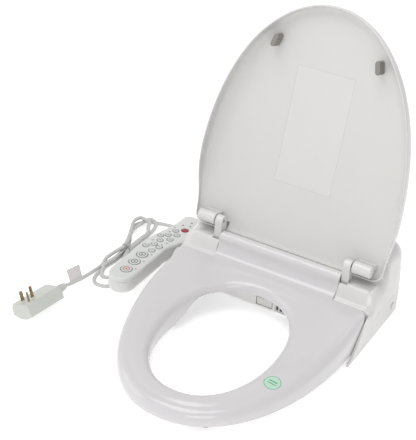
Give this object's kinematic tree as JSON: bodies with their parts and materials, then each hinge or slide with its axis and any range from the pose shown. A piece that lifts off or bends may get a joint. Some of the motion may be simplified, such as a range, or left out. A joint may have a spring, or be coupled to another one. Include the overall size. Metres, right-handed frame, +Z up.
{
  "type": "electric bidet seat",
  "caption": "White electric bidet toilet seat with a raised lid, an open oval ring, twin spray wands, a side arm of keys and a coiled cord with a flat-pin plug.",
  "frame": {"origin": "midway between the two fixing bolts, at the surface of the bowl", "axes": "+X to the right as seen from the front, +Y to the back, +Z up; the lid is open and the seat is down"},
  "size_m": [0.5552, 0.5441, 0.5196],
  "materials": {
    "white_gloss": "moulded ABS, satin gloss",
    "white_satin": "moulded plastic, satin",
    "clear_white": "pale moulded plastic",
    "grey_rubber": "soft rubber",
    "dark_plastic": "dark moulded plastic",
    "steel": "stainless steel",
    "brass": "brass",
    "board": "printed circuit board",
    "red_plastic": "red translucent plastic",
    "button_white": "pale keys",
    "cord_pvc": "soft grey PVC",
    "paper": "coated paper"
  },
  "bodies": {
    "main": {"base_shell": "white_gloss", "top_cover": "white_gloss", "nose_panel": "white_gloss", "air_grille": "white_gloss", "hinge_post_left": "white_gloss", "hinge_post_right": "white_gloss", "base_pads": "grey_rubber", "base_screws": "steel", "water_tank": "clear_white", "tank_heater": "steel", "inlet_valve": "dark_plastic", "water_hoses": "grey_rubber", "main_board": "board", "fan_housing": "dark_plastic", "fan_motor": "steel", "air_duct": "clear_white", "wand_guides": "dark_plastic", "wand_motors": "steel", "inlet_nipple": "clear_white", "cord_gland": "cord_pvc", "arm_shell": "white_gloss", "arm_fascia": "white_gloss", "arm_board": "board", "signal_lens": "red_plastic", "cord_to_hank": "cord_pvc", "cord_hank": "cord_pvc", "cord_tie": "dark_plastic", "cord_to_plug": "cord_pvc", "cord_tag": "paper", "plug_shell": "cord_pvc", "plug_pins": "brass"},
    "seat": {"seat_top": "white_gloss", "seat_bottom": "white_satin", "seat_neck": "white_gloss", "seat_heater": "steel", "seat_dampers": "dark_plastic", "seat_buffers": "grey_rubber"},
    "lid": {"lid_shell": "white_gloss", "lid_knuckles": "white_gloss", "lid_dampers": "dark_plastic", "lid_buffers": "grey_rubber"},
    "rear_wand": {"wand_rear": "white_satin"},
    "front_wand": {"wand_front": "white_satin"},
    "plate": {"mounting_plate": "white_satin", "bolt_bushes": "dark_plastic"},
    "release": {"release_button": "white_satin"},
    "fan": {"fan_wheel": "clear_white"},
    "button_stop_cap": {"button_stop": "red_plastic"},
    "button_wash_cap": {"button_wash": "button_white"},
    "button_front_wash_cap": {"button_front_wash": "button_white"},
    "button_forward_cap": {"button_forward": "button_white"},
    "button_back_cap": {"button_back": "button_white"},
    "button_weaker_cap": {"button_weaker": "button_white"},
    "button_stronger_cap": {"button_stronger": "button_white"},
    "button_dry_cap": {"button_dry": "button_white"},
    "button_seat_heat_cap": {"button_seat_heat": "button_white"},
    "button_water_heat_cap": {"button_water_heat": "button_white"},
    "button_night_light_cap": {"button_night_light": "button_white"},
    "button_power_cap": {"button_power": "button_white"},
    "button_self_clean_cap": {"button_self_clean": "button_white"}
  },
  "joints": [
    {"name": "seat_hinge", "type": "hinge", "parent": "main", "child": "seat", "pos_m": [0, -0.059, 0.091], "axis": [-1, 0, 0], "range_deg": [0, 95]},
    {"name": "lid_hinge", "type": "hinge", "parent": "main", "child": "lid", "pos_m": [0, -0.054, 0.12], "axis": [-1, 0, 0], "range_deg": [-119, 0]},
    {"name": "rear_wand_slide", "type": "slide", "parent": "main", "child": "rear_wand", "axis": [0, -0.9945, -0.1045], "range_m": [0, 0.066]},
    {"name": "front_wand_slide", "type": "slide", "parent": "main", "child": "front_wand", "axis": [0, -0.9945, -0.1045], "range_m": [0, 0.066]},
    {"name": "plate_slide", "type": "slide", "parent": "main", "child": "plate", "axis": [0, 1, 0], "range_m": [0, 0.04]},
    {"name": "release_press", "type": "slide", "parent": "main", "child": "release", "axis": [-1, 0, 0], "range_m": [0, 0.004], "stiffness_N_per_m": 600},
    {"name": "fan_spin", "type": "hinge", "parent": "main", "child": "fan", "pos_m": [0.093, 0.014, 0.052], "axis": [1, 0, 0], "continuous": true},
    {"name": "stop_press", "type": "slide", "parent": "main", "child": "button_stop_cap", "axis": [0, 0, -1], "range_m": [0, 0.0008], "stiffness_N_per_m": 500},
    {"name": "wash_press", "type": "slide", "parent": "main", "child": "button_wash_cap", "axis": [0, 0, -1], "range_m": [0, 0.0008], "stiffness_N_per_m": 500},
    {"name": "front_wash_press", "type": "slide", "parent": "main", "child": "button_front_wash_cap", "axis": [0, 0, -1], "range_m": [0, 0.0008], "stiffness_N_per_m": 500},
    {"name": "forward_press", "type": "slide", "parent": "main", "child": "button_forward_cap", "axis": [0, 0, -1], "range_m": [0, 0.0008], "stiffness_N_per_m": 500},
    {"name": "back_press", "type": "slide", "parent": "main", "child": "button_back_cap", "axis": [0, 0, -1], "range_m": [0, 0.0008], "stiffness_N_per_m": 500},
    {"name": "weaker_press", "type": "slide", "parent": "main", "child": "button_weaker_cap", "axis": [0, 0, -1], "range_m": [0, 0.0008], "stiffness_N_per_m": 500},
    {"name": "stronger_press", "type": "slide", "parent": "main", "child": "button_stronger_cap", "axis": [0, 0, -1], "range_m": [0, 0.0008], "stiffness_N_per_m": 500},
    {"name": "dry_press", "type": "slide", "parent": "main", "child": "button_dry_cap", "axis": [0, 0, -1], "range_m": [0, 0.0008], "stiffness_N_per_m": 500},
    {"name": "seat_heat_press", "type": "slide", "parent": "main", "child": "button_seat_heat_cap", "axis": [0, 0, -1], "range_m": [0, 0.0008], "stiffness_N_per_m": 500},
    {"name": "water_heat_press", "type": "slide", "parent": "main", "child": "button_water_heat_cap", "axis": [0, 0, -1], "range_m": [0, 0.0008], "stiffness_N_per_m": 500},
    {"name": "night_light_press", "type": "slide", "parent": "main", "child": "button_night_light_cap", "axis": [0, 0, -1], "range_m": [0, 0.0008], "stiffness_N_per_m": 500},
    {"name": "power_press", "type": "slide", "parent": "main", "child": "button_power_cap", "axis": [0, 0, -1], "range_m": [0, 0.0008], "stiffness_N_per_m": 500},
    {"name": "self_clean_press", "type": "slide", "parent": "main", "child": "button_self_clean_cap", "axis": [0, 0, -1], "range_m": [0, 0.0008], "stiffness_N_per_m": 500}
  ]
}
